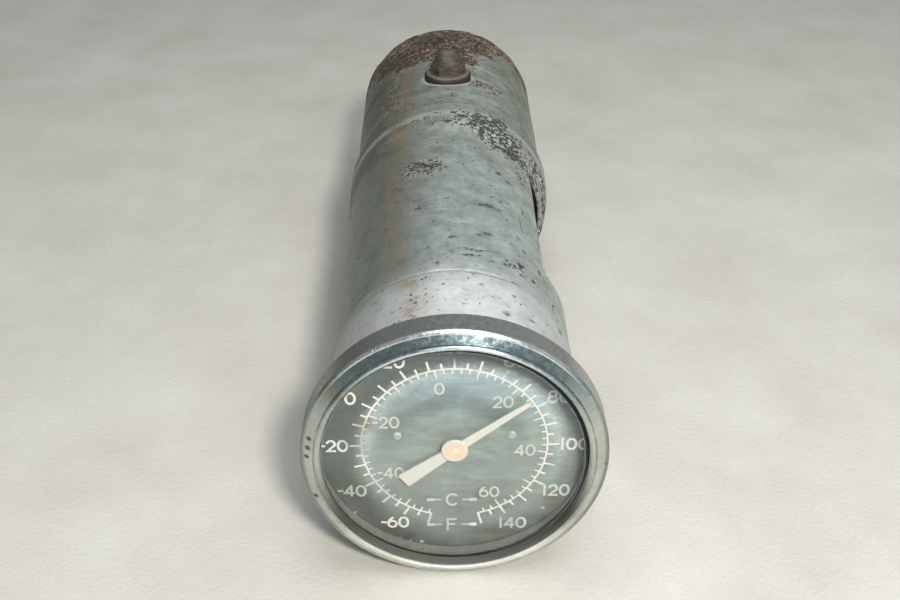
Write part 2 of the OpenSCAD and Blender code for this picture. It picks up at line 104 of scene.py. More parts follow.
def ramp(tree, value, start, end, low=0.0, high=1.0, curve="LINEAR"):
    """Turns start..end into low..high, and holds the value at both ends."""
    return add(tree, "MapRange", {"interpolation_type": curve}, Value=value,
               From_Min=start, From_Max=end, To_Min=low, To_Max=high)


def smooth(tree, value, start, end, low=0.0, high=1.0):
    """A ramp with soft ends."""
    return ramp(tree, value, start, end, low, high, "SMOOTHSTEP")


def blend(tree, share, first, second):
    """A share of the second colour over the first. Either may be a hex value."""
    first, second = (linear(c) if isinstance(c, str) else c for c in (first, second))
    return add(tree, "Mix", {"data_type": "RGBA"}, Factor=share, A=first, B=second)


def relief(tree, height, depth, strength):
    """Fine relief that follows a height pattern. depth is in mm."""
    return add(tree, "Bump", {}, Height=height, Distance=depth * MM, Strength=strength)


def coat(tree, **look):
    """Ends a material: its principled shader and its output."""
    skin = add(tree, "BsdfPrincipled", {}, **look)
    add(tree, "OutputMaterial", {}, Surface=skin)


# Smooth floor paint: matt and pale, with faint mottling a few centimetres wide and
# fine grit. It only looks paler in front because the lamp is nearer there.
floor_paint, tree = new_material("matt floor paint")
where = add(tree, "TexCoord", {}).outputs["Object"]
mottle = ramp(tree, cloudy(tree, where, 30.0, 5.0, 0.6), 0.3, 0.7)
grit = cloudy(tree, where, 900.0, 3.0)
tinted = blend(tree, mottle, "#bbb8af", "#c8c6be")
coat(tree, Base_Color=tinted, Roughness=0.85, Normal=relief(tree, grit, 0.3, 0.5))

FLOOR_HALF = 4
mesh = bpy.data.meshes.new("floor")
corners = [(x * FLOOR_HALF, y * FLOOR_HALF, 0) for x, y in ((-1, -1), (1, -1), (1, 1), (-1, 1))]
mesh.from_pydata(corners, [], [(0, 1, 2, 3)])
floor = bpy.data.objects.new("floor", mesh)
bpy.context.scene.collection.objects.link(floor)
floor.location = (0, -0.3 * MM, -31.76 * MM)
floor.rotation_euler = (math.radians(1.575), 0, 0)
floor.data.materials.append(floor_paint)


# Soft studio light: a key lamp just right of the camera, whose shadow falls behind
# and to the left, a weak lamp overhead, and a room that is dimmer above and on the left.
def calc(tree, operation, *values):
    """Arithmetic on values."""
    return add(tree, "Math", {"operation": operation}, **{f"in{i}": v for i, v in enumerate(values)})


bpy.context.scene.view_settings.view_transform = "Standard"
room = bpy.data.worlds.new("room")
bpy.context.scene.world = room
room.use_nodes = True
tree = room.node_tree
tree.nodes.clear()
way = add(tree, "SeparateXYZ", {}, Vector=add(tree, "TexCoord", {}).outputs["Generated"]).outputs
air = blend(tree, ramp(tree, way["Z"], -0.05, 0.6), "#a4a69d", "#727d82")
side = ramp(tree, way["X"], -1.0, 1.0, 0.30, 1.25)
facing = smooth(tree, way["Y"], -0.95, -0.35, 0.30, 1.0)
glow = add(tree, "Background", {}, Color=air, Strength=calc(tree, "MULTIPLY", side, facing))
add(tree, "OutputWorld", {}, Surface=glow)

LIT_POINT = Vector((0, 0.04, 0))
for name, place, wide, tall, power, tint in (
    ("key lamp", (0.13, -0.46, 0.44), 0.08, 0.06, 4.3, "#fffaf2"),
    ("upper card lamp", (0.12, -0.62, 0.52), 0.70, 0.10, 1.6, "#f4faff"),
    ("lower card lamp", (0.115, -0.80, 0.055), 0.12, 0.05, 0.9, "#eaf4ff"),
    ("overhead lamp", (0.07, -0.06, 0.60), 0.34, 0.56, 2.4, "#f8faff"),
):
    lamp = bpy.data.objects.new(name, bpy.data.lights.new(name, "AREA"))
    bpy.context.scene.collection.objects.link(lamp)
    lamp.data.shape = "RECTANGLE"
    lamp.data.size = wide
    lamp.data.size_y = tall
    lamp.data.energy = power
    lamp.data.color = linear(tint)[:3]
    lamp.location = place
    lamp.rotation_mode = "QUATERNION"
    lamp.rotation_quaternion = (LIT_POINT - Vector(place)).to_track_quat("-Z", "Y")


# The bezel is drawn and spun from brass and nickel plated. The plating has gone
# dull: a dark, smoky skirt, a paler face, black pits where the plate has lifted. Much of the face's light and
# shade is painted into its colour.
def finish(obj, material):
    """Gives a piece one material all over."""
    obj.data.materials.clear()
    obj.data.materials.append(material)


def times(tree, colour, factor):
    """A colour or a point, all of it multiplied."""
    return add(tree, "VectorMath", {"operation": "SCALE"}, in0=colour, Scale=factor)


def millimetres(tree):
    """A piece's own coordinates in mm: the point, its numbers, and the point on the dial's plane."""
    place = times(tree, add(tree, "TexCoord", {}).outputs["Object"], 1000.0)
    axis = add(tree, "SeparateXYZ", {}, Vector=place).outputs
    return place, axis, add(tree, "CombineXYZ", {}, X=axis["X"], Y=0.0, Z=axis["Z"])


def length(tree, point):
    return add(tree, "VectorMath", {"operation": "LENGTH"}, in0=point).outputs["Value"]


def far_from(tree, point, middle):
    return add(tree, "VectorMath", {"operation": "DISTANCE"}, in0=point, in1=middle).outputs["Value"]


def largest(tree, values):
    """The largest of several node values."""
    top = values[0]
    for value in values[1:]:
        top = calc(tree, "MAXIMUM", top, value)
    return top


dull_nickel, tree = new_material("dulled nickel plate")
place, axis, flat = millimetres(tree)
radius = length(tree, flat)
low_radius = far_from(tree, flat, (0.0, 0.0, 0.6))
clouds = cloudy(tree, place, 0.16, 5.0, 0.65)
blotch = cloudy(tree, place, 0.9, 4.0, 0.7)
# the upper face has kept its polish and the lower face is matt. Their colours are lit and shaded copies:
# the upper face is painted a dark blue-grey, a painted reflection of the dim room, and the lower face is
# painted pale, a painted reflection of the lit floor. The lower face is also darker at the outer edge
upper = smooth(tree, axis["Z"], 6.0, 20.0)
pale_lit = blend(tree, clouds, "#a2a59e", "#dadcd4")
pale_lit = times(tree, pale_lit, smooth(tree, low_radius, 30.5, 31.3, 1.0, 0.55))
keen_shaded = blend(tree, clouds, "#7a8a8e", "#a3b2b6")
# painted highlight: near the top the outer edge and the bead are painted bright
edge_highlight = smooth(tree, radius, 30.7, 31.2)
bead_highlight = smooth(tree, radius, 28.8, 28.5, 0.0, 0.75)
near_top = smooth(tree, axis["Z"], 18.0, 26.0)
top_highlight = calc(tree, "MULTIPLY", calc(tree, "MAXIMUM", edge_highlight, bead_highlight), near_top)
face = blend(tree, upper, pale_lit, blend(tree, top_highlight, keen_shaded, "#dfe6e8"))
# painted light: the face's colour is brightened by a quarter towards the bottom
painted_bottom_light = smooth(tree, axis["Z"], -26.0, -16.0, 1.25, 1.0)
blotched = ramp(tree, blotch, 0.3, 0.7, 0.86, 1.12)
face = times(tree, face, calc(tree, "MULTIPLY", painted_bottom_light, blotched))
# the skirt is smoky, and painted shade darkens its left side
skirt = smooth(tree, axis["Y"], -6.0, -5.5)
smoky_and_shade = blend(tree, blotch, "#a0a29f", "#bcbdba")
smoky_and_shade = times(tree, smoky_and_shade, smooth(tree, axis["X"], -27.0, -12.0, 0.5, 1.0))
tone = blend(tree, skirt, face, smoky_and_shade)
# old polish has dried dark along the inside of the bead, on its lower half
lower = smooth(tree, axis["Z"], 4.0, -16.0, 0.0, 0.92)
dried = calc(tree, "MULTIPLY", lower, smooth(tree, low_radius, 29.1, 28.6))
tone = blend(tree, dried, tone, "#2d2c26")
# a brown tarnish at the upper left of the face, 8 mm long
stain_at = add(tree, "Mapping", {"vector_type": "TEXTURE"}, Vector=place, Location=(-24.5, -6.5, 17.5),
               Scale=(4.0, 4.0, 4.0))
stain = smooth(tree, calc(tree, "ADD", length(tree, stain_at), blotch), 0.6, 1.6, 0.45, 0.0)
tone = blend(tree, stain, tone, "#8f7a58")
# black pits, 0.3 to 1 mm across: a few anywhere, and four on the left of the face
cells = add(tree, "TexVoronoi", {}, Vector=place, Scale=0.45, Randomness=1.0)
chance = add(tree, "SeparateXYZ", {}, Vector=cells.outputs["Color"]).outputs["X"]
picked = calc(tree, "GREATER_THAN", chance, 0.90)
pits = [calc(tree, "MULTIPLY", picked, smooth(tree, cells.outputs["Distance"], 0.06, 0.18, 1.0, 0.0))]
for across, high, size in ((-29.5, 6.2, 0.5), (-29.9, 3.9, 0.6), (-30.3, 1.6, 0.5), (-28.9, -8.8, 0.55)):
    ragged = calc(tree, "MULTIPLY_ADD", blotch, -0.6, far_from(tree, flat, (across, 0, high)))
    pits.append(smooth(tree, ragged, size * 0.2, size * 0.7, 1.0, 0.0))
pit = largest(tree, pits)
tone = blend(tree, calc(tree, "MULTIPLY", pit, 0.74), tone, "#34383a")
gloss = ramp(tree, blotch, 0.3, 0.7, 0.14, 0.32)
matt = calc(tree, "MAXIMUM", calc(tree, "ADD", gloss, ramp(tree, upper, 0.0, 1.0, 0.34, 0.0)), pit)
matt = calc(tree, "MULTIPLY_ADD", dried, 0.3, matt)
# at the very bottom the plate has weathered to a nearly matt skin, where its painted pale colour shows
bare = smooth(tree, axis["Z"], -23.0, -14.0, 0.25, 0.86)
bright = calc(tree, "MULTIPLY", ramp(tree, dried, 0.0, 1.0, 1.0, 0.4), bare)
# the spinning tool leaves rings about 0.25 mm apart, drawn here at 0.5 mm so that they show
unrolled = add(tree, "CombineXYZ", {}, X=radius, Y=axis["Y"])
rings = add(tree, "TexWave", {"wave_type": "BANDS", "bands_direction": "X"}, Vector=unrolled, Scale=0.62,
            Distortion=0.6, Detail=2.0).outputs["Fac"]
lift = calc(tree, "SUBTRACT", calc(tree, "MULTIPLY", rings, 0.03), pit)
# and they stretch each highlight across them, as a streak from the edge to the bead
around = add(tree, "Tangent", {"direction_type": "RADIAL", "axis": "Y"})
coat(tree, Base_Color=tone, Metallic=bright, Roughness=matt, Normal=relief(tree, lift, 0.1, 0.8),
     Anisotropic=0.6, Anisotropic_Rotation=0.25, Tangent=around)
finish(nodes["bezel"], dull_nickel)

# The glass is flat and puttied in from behind. It is clear but for a thin film of
# old polish, which is uneven and a little thicker towards the bottom.
filmy_glass, tree = new_material("window glass with a thin film")
_, axis, disc = millimetres(tree)
uneven = ramp(tree, cloudy(tree, disc, 0.09, 4.0, 0.55, 0.8), 0.35, 0.65, 0.4, 1.6)
veil = calc(tree, "MULTIPLY", ramp(tree, axis["Z"], -24.0, 16.0, 0.05, 0.02), uneven)
# painted shadow: a black line on the glass against the lip, above and on the right, where the lip's shadow
# falls
lip_far = far_from(tree, disc, (-0.35, 0.0, -1.0))
shadow_edge_reach = calc(tree, "MULTIPLY_ADD", cloudy(tree, disc, 0.5, 3.0), 0.6, lip_far)
painted_lip_shadow = smooth(tree, shadow_edge_reach, 27.3, 27.7, 0.0, 0.95)
film = add(tree, "BsdfDiffuse", {}, Color=blend(tree, painted_lip_shadow, "#bfc8c4", "#121514"))
clear = add(tree, "BsdfTransparent", {})
dimmed = add(tree, "MixShader", {}, in0=calc(tree, "MAXIMUM", veil, painted_lip_shadow), in1=clear, in2=film)
shine = add(tree, "BsdfGlossy", {}, Color=(1, 1, 1, 1), Roughness=0.05)
# only a face turned to the eye or lamp mirrors: nothing is bent here, so the pane's
# far face would otherwise send back all the light that meets it at a slant
toward = calc(tree, "SUBTRACT", 1.0, add(tree, "NewGeometry", {}).outputs["Backfacing"])
mirror = calc(tree, "MULTIPLY", add(tree, "Fresnel", {}, IOR=1.45), toward)
mirror = calc(tree, "MULTIPLY", mirror, calc(tree, "SUBTRACT", 1.0, painted_lip_shadow))
pane = add(tree, "MixShader", {}, in0=mirror, in1=dimmed, in2=shine)
add(tree, "OutputMaterial", {}, Surface=pane)
finish(nodes["glass"], filmy_glass)


# The dial is thin sheet, sprayed a dark grey-green. Damp has turned it milky but for
# a strip along the upper rim, and left brown stains and small pale flakes.
def off_line(tree, value, middle):
    """How far a value is from a middle one, either way."""
    return calc(tree, "ABSOLUTE", calc(tree, "SUBTRACT", value, middle))


dial_enamel, tree = new_material("clouded dial enamel")
_, axis, disc = millimetres(tree)
radius = length(tree, disc)
billow = cloudy(tree, disc, 0.10, 5.0, 0.6, 0.7)
speck = cloudy(tree, disc, 1.1, 5.0, 0.75)
sound = blend(tree, smooth(tree, axis["Z"], -12.0, 14.0), "#474c42", "#434f4d")
# the milkiness is blue-white near the top, grey-green below
blue = smooth(tree, calc(tree, "MULTIPLY_ADD", billow, 14.0, axis["Z"]), 10.0, 24.0)
milk = blend(tree, blue, "#8b9790", "#97adb2")
frayed = calc(tree, "MULTIPLY_ADD", billow, 9.0, far_from(tree, disc, (3.0, 0.0, -4.0)))
milky = smooth(tree, frayed, 23.0, 31.0, 1.0, 0.0)
# a wiped arc over the middle, where the enamel's own colour comes through
arc = smooth(tree, off_line(tree, far_from(tree, disc, (0.0, 0.0, -3.0)), 14.2), 0.4, 4.2, 0.40, 0.0)
arc = calc(tree, "MULTIPLY", arc, smooth(tree, axis["Z"], -6.0, 8.0))
mist = calc(tree, "SUBTRACT", ramp(tree, billow, 0.3, 0.7, 0.72, 1.0), arc)
tone = blend(tree, calc(tree, "MULTIPLY", milky, mist), sound, milk)
# white frost over the ring of ticks, thick above and thin below
ring_off = off_line(tree, far_from(tree, disc, (1.6, 0.0, -1.4)), 20.2)
frost = smooth(tree, calc(tree, "MULTIPLY_ADD", speck, 5.0, ring_off), 1.8, 5.4, 0.60, 0.0)
frost = calc(tree, "MULTIPLY", frost, smooth(tree, axis["Z"], -12.0, 8.0, 0.35, 1.0))
tone = blend(tree, frost, tone, "#bccbcd")
# brown stains: where they are, and their half width and height in mm
stains = []
for across, high_up, wide, tall in ((-18.2, 6.1, 2.4, 2.8), (5.2, -13.6, 1.5, 1.9), (21.5, -15.0, 3.4, 4.6),
                                    (-21.0, 14.5, 3.5, 3.0), (10.0, -24.0, 8.0, 2.6)):
    at = add(tree, "Mapping", {"vector_type": "TEXTURE"}, Vector=disc, Location=(across, 0, high_up),
             Scale=(wide, 1, tall))
    stains.append(smooth(tree, calc(tree, "ADD", length(tree, at), speck), 0.6, 1.6, 0.85, 0.0))
tone = blend(tree, largest(tree, stains), tone, "#6b6448")
# pale flakes: where they are, and how wide in mm
flakes = []
for across, high_up, size in ((25.9, -13.8, 0.8), (24.5, -16.1, 0.6), (19.0, -17.5, 0.5), (-12.0, -26.0, 0.6),
                              (-7.2, -27.0, 0.7), (-21.5, -18.4, 0.5), (-9.6, -26.6, 0.4)):
    chipped = calc(tree, "MULTIPLY_ADD", speck, -1.0, far_from(tree, disc, (across, 0, high_up)))
    flakes.append(ramp(tree, chipped, size * 0.2 - 0.4, size * 0.5 - 0.3, 1.0, 0.0))
tone = blend(tree, largest(tree, flakes), tone, "#d9d8cc")
# wiped smears, a few millimetres wide and slanting up to the right
wiped = add(tree, "Mapping", {}, Vector=disc, Rotation=(0, math.radians(38), 0), Scale=(0.10, 1.0, 0.42))
smears = cloudy(tree, wiped, 1.0, 6.0, 0.65, 1.1)
tone = times(tree, tone, ramp(tree, smears, 0.30, 0.70, 0.76, 1.20))
tone = blend(tree, smooth(tree, speck, 0.56, 0.75, 0.0, 0.4), tone, "#b3b6a9")
# the dial is darker towards the lower rim, and a painted shadow darkens the corner all round, under the lip
tone = times(tree, tone, smooth(tree, axis["Z"], -27.0, 2.0, 0.62, 1.0))
tone = blend(tree, smooth(tree, radius, 27.6, 28.5, 0.0, 0.5), tone, "#171c1b")
coat(tree, Base_Color=tone, Roughness=0.55, Normal=relief(tree, speck, 0.05, 0.6))
finish(nodes["dial_plate"], dial_enamel)

# The spacer ring and the rubber gasket show as a low wall round the dial. Dust has
# turned both the dial's grey, but for a black line of rubber close under the lip; painted shadow darkens both
# there.
for name, label, inner, outer_and_shade in (("spacer_ring", "dusty sprayed spacer", "#6b6c60", "#5d5d52"),
                                  ("glass_gasket", "dusty black rubber", "#56564c", "#10100f")):
    material, tree = new_material(label)
    place, _, disc = millimetres(tree)
    # painted shadow: both pieces darken towards the lip
    grey = blend(tree, smooth(tree, length(tree, disc), 28.55, 28.9), inner, outer_and_shade)
    dust = ramp(tree, cloudy(tree, place, 0.8, 5.0, 0.7), 0.3, 0.7, 0.75, 1.2)
    coat(tree, Base_Color=times(tree, grey, dust), Roughness=0.8)
    finish(nodes[name], material)

# The scales are printed in cream ink: a Fahrenheit scale outside the ring and a
# Celsius scale inside it, 1.5 degrees of arc to a degree Fahrenheit, 40 F on top.
# In mm: the dial's front face, the ink's thickness, the ring's radius and the widths of
# its line and its ticks
DIAL_FRONT = -1.4
INK = 0.03
RING_R = 19.4
LINE_W = 0.38
TICK_W = 0.46


def ribbon(shape, points, width, y=DIAL_FRONT, thick=INK):
    """Adds a flat stroke of ink along points of the dial, in mm. It closes where its ends
    meet. Strokes that cross get unlike thicknesses: faces in one plane would shade each other."""
    points = [Vector(p) for p in points]
    closed = (points[0] - points[-1]).length < 1e-6
    if closed:
        points.pop()
    count = len(points)
    rows = []
    for i, p in enumerate(points):
        before = points[i - 1] if i or closed else None
        after = points[(i + 1) % count] if i < count - 1 or closed else None
        pairs = ((before, p), (p, after))
        sides = [(b - a).normalized() for a, b in pairs if a is not None and b is not None]
        along = sum(sides, Vector((0, 0))).normalized()
        out = Vector((-along.y, along.x)) * (width / 2 / max(0.5, along.dot(sides[0])))
        if not closed and i in (0, count - 1):
            p = p + along * width * (0.3 if i else -0.3)
        rows.append([shape.verts.new((q.x * MM, (y - d) * MM, q.y * MM))
                     for q, d in ((p + out, 0), (p + out, thick), (p - out, thick), (p - out, 0))])
    for i in range(count if closed else count - 1):
        a, b = rows[i], rows[(i + 1) % count]
        for k in range(3):
            shape.faces.new((a[k], a[k + 1], b[k + 1], b[k]))
    if not closed:
        shape.faces.new(rows[0][::-1])
        shape.faces.new(rows[-1])


def bow(x, y, rx, ry, start, end, steps=20):
    """Points of an ellipse's arc, from one angle to another, in degrees."""
    angles = [math.radians(start + (end - start) * i / steps) for i in range(steps + 1)]
    return [(x + rx * math.cos(a), y + ry * math.sin(a)) for a in angles]


# each figure in a box one unit high: its width, and the strokes it is drawn with
FIGURES = {
    "0": (0.72, [bow(0.36, 0.5, 0.36, 0.5, 90, 450, 28)]),
    "1": (0.26, [[(0.13, 0), (0.13, 1)]]),
    "2": (0.66, [bow(0.33, 0.69, 0.31, 0.31, 165, -35, 14) + [(0.02, 0), (0.66, 0)]]),
    "4": (0.72, [[(0.54, 0), (0.54, 1)], [(0.54, 1), (0, 0.28), (0.72, 0.28)]]),
    "6": (0.68, [bow(0.34, 0.32, 0.34, 0.32, 90, 450, 24), bow(0.62, 0.36, 0.62, 0.66, 180, 112, 10)]),
    "8": (0.68, [bow(0.34, 0.76, 0.27, 0.24, -90, 270, 20), bow(0.34, 0.27, 0.34, 0.27, 90, 450, 24)]),
    "-": (0.40, [[(0.02, 0.5), (0.38, 0.5)]]),
    "C": (0.74, [bow(0.42, 0.5, 0.42, 0.5, 48, 312, 20)]),
    "F": (0.62, [[(0, 0), (0, 1), (0.62, 1)], [(0, 0.52), (0.5, 0.52)]]),
}


def figures(shape, text, x, y, tall, wide, width):
    """Prints figures with their middle at x, y. A minus sign hangs out on the left."""
    gap = 0.24
    body = text.lstrip("-")
    start = x - wide * (sum(FIGURES[c][0] for c in body) + gap * (len(body) - 1)) / 2
    if body != text:
        start -= wide * (FIGURES["-"][0] + gap * 0.7)
    for c in text:
        for k, stroke in enumerate(FIGURES[c][1]):
            line = [(start + u * wide, y - tall / 2 + v * tall) for u, v in stroke]
            ribbon(shape, line, width, thick=INK * (1 + 0.3 * k))
        start += wide * (FIGURES[c][0] + gap * (0.7 if c == "-" else 1))


def on_dial(radius, degrees):
    """A point of the dial, counted as a clock's angles are in mathematics, from +X upwards."""
    return radius * math.cos(math.radians(degrees)), radius * math.sin(math.radians(degrees))


def angle_of(fahrenheit):
    return 90 - 1.5 * (fahrenheit - 40)


def printed(name, draw, material):
    """A printed piece of the dial, drawn as a raised layer of ink."""
    shape = bmesh.new()
    draw(shape)
    bmesh.ops.recalc_face_normals(shape, faces=shape.faces)
    layer = bpy.data.meshes.new(name)
    shape.to_mesh(layer)
    piece = bpy.data.objects.new(name, layer)
    bpy.context.scene.collection.objects.link(piece)
    finish(piece, material)
    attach(piece, "root")
    return piece


# Cream printing ink, worn thin in patches, so that the enamel shows through it. It is
# thinnest on the middle's small figures.
cream_ink, tree = new_material("worn cream printing ink")
place, axis, disc = millimetres(tree)
middle = smooth(tree, length(tree, disc), 16.5, 19.0, 0.42, 0.0)
faded = [middle, smooth(tree, cloudy(tree, place, 1.2, 4.0, 0.7), 0.50, 0.74, 0.0, 0.5)]
# figures that are worn or grimy, the two on top also darkened by painted shadow under the lip: where, over
# how many mm, and how much
for across, high_up, size, share in (
    (0.0, 25.0, 5.5, 0.90), (11.3, 21.2, 5.0, 0.72), (21.9, 11.5, 4.5, 0.45), (-22.4, -11.6, 5.0, 0.70),
    (11.0, -22.3, 5.0, 0.52), (-1.3, -22.0, 6.0, 0.50), (-19.0, 2.0, 6.0, 0.60), (-15.5, -12.0, 6.0, 0.40),
    (22.0, -12.0, 5.0, 0.25),
):
    far = far_from(tree, disc, (across, 0, high_up))
    faded.append(smooth(tree, far, size * 0.6, size, share, 0.0))
# painted shadow: the worn ink is darker towards the top, under the lip
worn_and_shaded_tone = blend(tree, smooth(tree, axis["Z"], 15.0, 22.0), "#808c85", "#586462")
coat(tree, Base_Color=blend(tree, largest(tree, faded), "#dedcd3", worn_and_shaded_tone), Roughness=0.6)


def draw_scales(shape):
    ribbon(shape, [on_dial(RING_R, angle_of(f)) for f in range(-70, 151, 2)], LINE_W)
    for f in range(-70, 151, 5):
        reach = 2.9 if f in (-70, 150) else 2.3 if f % 10 == 0 else 1.3
        tick = [on_dial(RING_R, angle_of(f)), on_dial(RING_R + reach, angle_of(f))]
        ribbon(shape, tick, TICK_W, thick=INK * 1.4)
    for c in range(-56, 66, 2):
        f = c * 1.8 + 32
        reach = 1.9 if c % 10 == 0 else 1.0
        tick = [on_dial(RING_R, angle_of(f)), on_dial(RING_R - reach, angle_of(f))]
        ribbon(shape, tick, TICK_W * 0.7, thick=INK * 1.2)


def draw_numbers(shape):
    for f in range(-60, 141, 20):
        x, y = on_dial(25.0 if f >= 100 else 24.5, angle_of(f))
        figures(shape, str(f), x, y, 2.7, 2.6, 0.54)
    for c in range(-40, 61, 20):
        x, y = on_dial(14.8, angle_of(c * 1.8 + 32))
        figures(shape, str(c), x, y, 2.6, 2.4, 0.44)


def draw_units(shape):
    for letter, y in (("C", -14.9), ("F", -22.0)):
        figures(shape, letter, -0.6, y, 3.0, 2.9, 0.46)
        for side in (-1, 1):
            ribbon(shape, [(side * 2.3 - 0.6, y), (side * 4.1 - 0.6, y)], 0.32)
            ribbon(shape, [(side * 4.0 - 0.6, y), (side * 5.1 - 0.6, y)], 0.8, thick=INK * 1.3)


printed("dial_scales", draw_scales, cream_ink)
printed("dial_numbers", draw_numbers, cream_ink)
printed("dial_unit_marks", draw_units, cream_ink)

# The pointer and its hub are sprayed cream. The paint has gone a little brown
# on the hub and has small grey-brown rubbed spots all over.
aged_cream, tree = new_material("aged cream enamel")
place, _, disc = millimetres(tree)
fine = cloudy(tree, place, 4.0, 4.0, 0.7)
arm_tone = blend(tree, cloudy(tree, place, 0.35, 4.0), "#c6c7be", "#d3cec1")
cream = blend(tree, smooth(tree, length(tree, disc), 1.6, 3.2), "#d9c3aa", arm_tone)
cream = blend(tree, smooth(tree, fine, 0.55, 0.8, 0.0, 0.4), cream, "#a89c86")
coat(tree, Base_Color=cream, Roughness=0.5, Normal=relief(tree, fine, 0.04, 0.5))
finish(nodes["pointer"], aged_cream)
finish(nodes["pointer_hub"], aged_cream)

# The shaft is ground steel rod. Its riveted front end was sprayed with the hub.
sprayed_rod, tree = new_material("ground steel rod with a sprayed end")
place, axis, _ = millimetres(tree)
scuffs = cloudy(tree, place, 4.0, 4.0)
bare = ramp(tree, axis["Y"], -2.2, -2.1)
steel = blend(tree, scuffs, "#8f9292", "#c3c5c5")
paint = blend(tree, scuffs, "#d9c6a8", "#efdfc6")
coat(tree, Base_Color=blend(tree, bare, paint, steel), Metallic=bare,
     Roughness=ramp(tree, bare, 0.0, 1.0, 0.5, 0.25))
finish(nodes["pointer_shaft"], sprayed_rod)

# Turned and stamped metal inside the gauge. Each keeps its CAD shape; what shows
# of them is seen past the dial's rim, through the window or from the open end.
for names, label, dark, light, metallic, rough, grain_mm in (
    (("dial_pillars", "neck_stud", "neck_nut", "stem_plug"), "turned brass gone brown",
     "#8a6c3e", "#b99a5c", 1.0, 0.38, 0.6),
    (("front_bush", "shaft_guide", "helix_collet"), "turned bronze", "#7d5a3c", "#a57c55", 1.0, 0.35, 0.5),
    (("dial_screws",), "dusty nickel plated screw steel", "#9aa5a4", "#bcc8c8", 0.3, 0.6, 0.5),
    (("gauge_case",), "cadmium plated sheet", "#8f908a", "#b5b4a8", 1.0, 0.42, 2.0),
    (("neck_lock_washer", "stem_tube"), "tinned spring steel and stem", "#84867f", "#adafa8", 1.0, 0.34, 1.5),
    (("bimetal_helix",), "rolled bimetal strip", "#8d8570", "#b0a58a", 1.0, 0.36, 0.8),
    (("sealing_washer",), "perished black rubber", "#1c1c1b", "#343431", 0.0, 0.75, 1.0),
    (("stop_screw", "stop_lock_washer"), "rusty screw steel", "#4a3a30", "#6b5a4d", 0.4, 0.7, 0.7),
):
    material, tree = new_material(label)
    place, _, _ = millimetres(tree)
    blotches = ramp(tree, cloudy(tree, place, 0.5 / grain_mm, 5.0, 0.65), 0.35, 0.65)
    fine = cloudy(tree, place, 3.0 / grain_mm, 3.0)
    dull = ramp(tree, fine, 0.3, 0.7, rough - 0.08, rough + 0.12)
    coat(tree, Base_Color=blend(tree, blotches, dark, light), Metallic=metallic, Roughness=dull,
         Normal=relief(tree, fine, 0.04, 0.6))
    for name in names:
        finish(nodes[name], material)

# The ventilator tube is rolled and drawn steel, sprayed with aluminium lacquer.
# It is stained ochre down its left, pitted, scratched, and rusty at its open end.
# In mm: the tube's radius, the stud's distance down it and the radius of its washer
TUBE_R = 26.9
STUD_Y = 136.1
washer_low, washer_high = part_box("cup_washer")
WASHER_R = (washer_high[0] - washer_low[0]) / 2 / MM

# Marks at their real places on the tube: degrees from the top towards the window,
# distance down the tube, half length round it, half length along it
SPOTS = (
    (15, 56.7, 2.0, 1.0), (20, 57.4, 2.4, 1.6), (25, 57.0, 1.2, 0.8), (12.6, 41.5, 1.2, 0.7),
    (17.6, 43, 1.8, 1.1), (4.4, 34.5, 1.6, 0.7), (8.5, 34.3, 2.2, 0.8), (12.5, 34.1, 1.6, 0.6),
    (7.5, 31.7, 2.2, 1.0), (-0.7, 39.5, 1.6, 1.0), (-7.5, 28.5, 1.0, 1.1), (5.9, 46, 1.1, 0.8),
    (-8.3, 45.5, 0.9, 0.6), (-1.4, 46.2, 1.1, 0.5), (-2, 58.6, 1.2, 0.9), (-18.1, 60.5, 0.9, 0.8),
    (-17, 55.6, 1.8, 1.4), (-11.7, 35.8, 0.7, 1.2), (-15.8, 27, 0.6, 0.9), (-24.9, 32.3, 0.6, 1.2),
    (-1.5, 23.3, 1.2, 0.4), (26.5, 31.7, 1.4, 1.3), (30.4, 31.7, 1.0, 0.7), (35.2, 30.3, 1.7, 0.9),
    (42.7, 31.4, 1.2, 1.3), (48.1, 38.3, 0.9, 1.8), (38.5, 42.6, 0.8, 1.7), (35.4, 47.7, 0.8, 1.8),
    (41, 63.2, 0.8, 1.4), (43.6, 80.3, 0.8, 0.9), (28.6, 19, 1.0, 0.8), (19.4, 15.7, 1.6, 0.5),
    (23.9, 10.7, 1.3, 1.2), (37.2, 12.6, 2.2, 0.7), (59.3, 20.2, 1.0, 2.2), (11.4, 12, 0.4, 0.9),
    (5.2, 13.1, 0.4, 0.6), (56.6, 29, 0.8, 1.6), (26.9, 77.5, 1.6, 1.8), (33.3, 75.1, 1.8, 1.0),
    (-20, 105.6, 2.2, 0.9), (-13, 104.2, 2.4, 0.8), (16, 156.0, 3.4, 0.9), (49, 154.6, 2.6, 0.8),
)
# Patches thick with pits, given in the same way, with their slant and how thick they are
PITTED = (
    (30, 100, 14.0, 8.0, -30, 1.0), (22, 104, 8.0, 5.5, -20, 1.0), (-13, 77, 5.5, 4.5, 0, 0.75),
    (36, 32, 6.0, 2.5, -15, 0.45), (24, 134, 4.5, 4.5, 0, 0.6), (-38, 132, 5.0, 11.0, 0, 0.35),
    (6, 152, 9.0, 8.0, 0, 0.9), (-15, 160, 24.0, 10.0, 0, 0.75), (66, 98, 17.0, 6.5, 0, 0.85),
    (-16, 104.8, 4.5, 1.6, 0, 0.7), (48, 88, 2.5, 9.0, -12, 0.5),
)
# Brown rust that hasn't gone deep, given in the same way
BROWNED = (
    (-13, 76.5, 5.0, 4.5, 0, 0.45), (-36, 134, 6.5, 18.0, 8, 0.40), (-30, 105, 4.0, 7.0, 0, 0.35),
    (20, 134, 6.0, 4.0, 0, 0.4), (6, 152, 8.5, 8.5, 0, 0.75), (-30, 70, 3.0, 5.0, 0, 0.4),
    (-19, 12, 3.0, 8.0, 0, 0.35),
)
